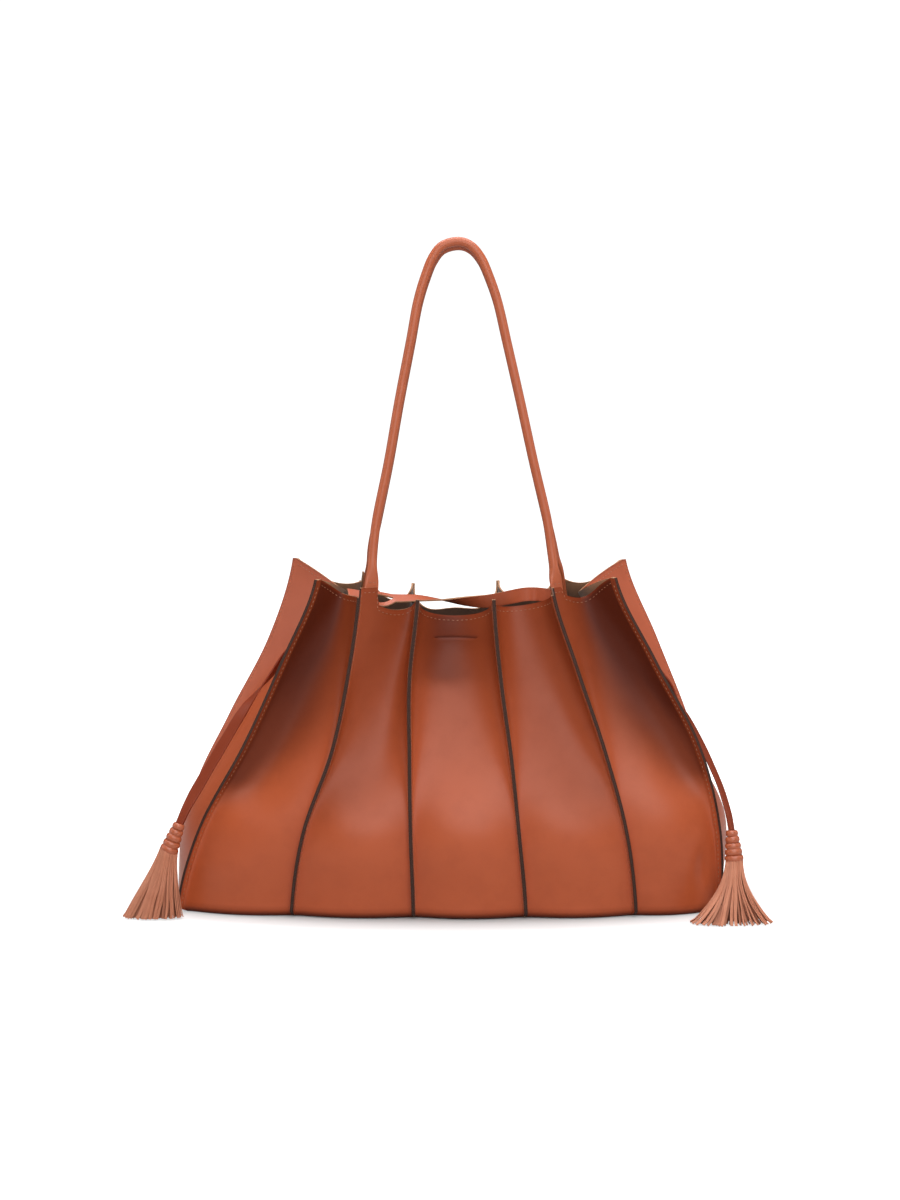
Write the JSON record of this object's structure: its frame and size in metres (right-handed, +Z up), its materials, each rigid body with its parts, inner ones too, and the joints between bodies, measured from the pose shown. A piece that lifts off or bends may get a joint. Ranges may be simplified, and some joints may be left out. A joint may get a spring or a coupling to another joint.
{
  "type": "leather tote bag",
  "caption": "Open-topped leather tote with a gathered body of panels whose raw-edged seams stand out, rolled shoulder handles, a closing strap and tasselled side ties.",
  "frame": {"origin": "middle of the underside of the base, on the surface that the bag stands on", "axes": "+Z up through the mouth, -Y out of the front with the tasselled corners, +X to the right seen from the front"},
  "size_m": [0.5693, 0.2028, 0.5865],
  "materials": {
    "body_leather": "smooth semi-matte cognac leather, raw edges painted dark brown, tan suede inside",
    "base_leather": "matte leather",
    "handle_leather": "smooth rolled leather",
    "strap_leather": "smooth leather with a pale raw edge",
    "tie_leather": "smooth leather",
    "wrap_leather": "smooth leather lace",
    "fringe_leather": "cut leather strips with pale raw edges"
  },
  "bodies": {
    "root": {"front_panel_1": "body_leather", "front_panel_2": "body_leather", "front_panel_3": "body_leather", "front_panel_4": "body_leather", "front_panel_5": "body_leather", "side_gusset_right": "body_leather", "back_panel_5": "body_leather", "back_panel_4": "body_leather", "back_panel_3": "body_leather", "back_panel_2": "body_leather", "back_panel_1": "body_leather", "side_gusset_left": "body_leather", "base_panel": "base_leather", "handle_front": "handle_leather", "handle_back": "handle_leather", "closing_strap": "strap_leather", "tie_left": "tie_leather", "tie_right": "tie_leather", "tassel_wrap_left": "wrap_leather", "tassel_wrap_right": "wrap_leather", "tassel_fringe_left": "fringe_leather", "tassel_fringe_right": "fringe_leather"}
  },
  "joints": []
}
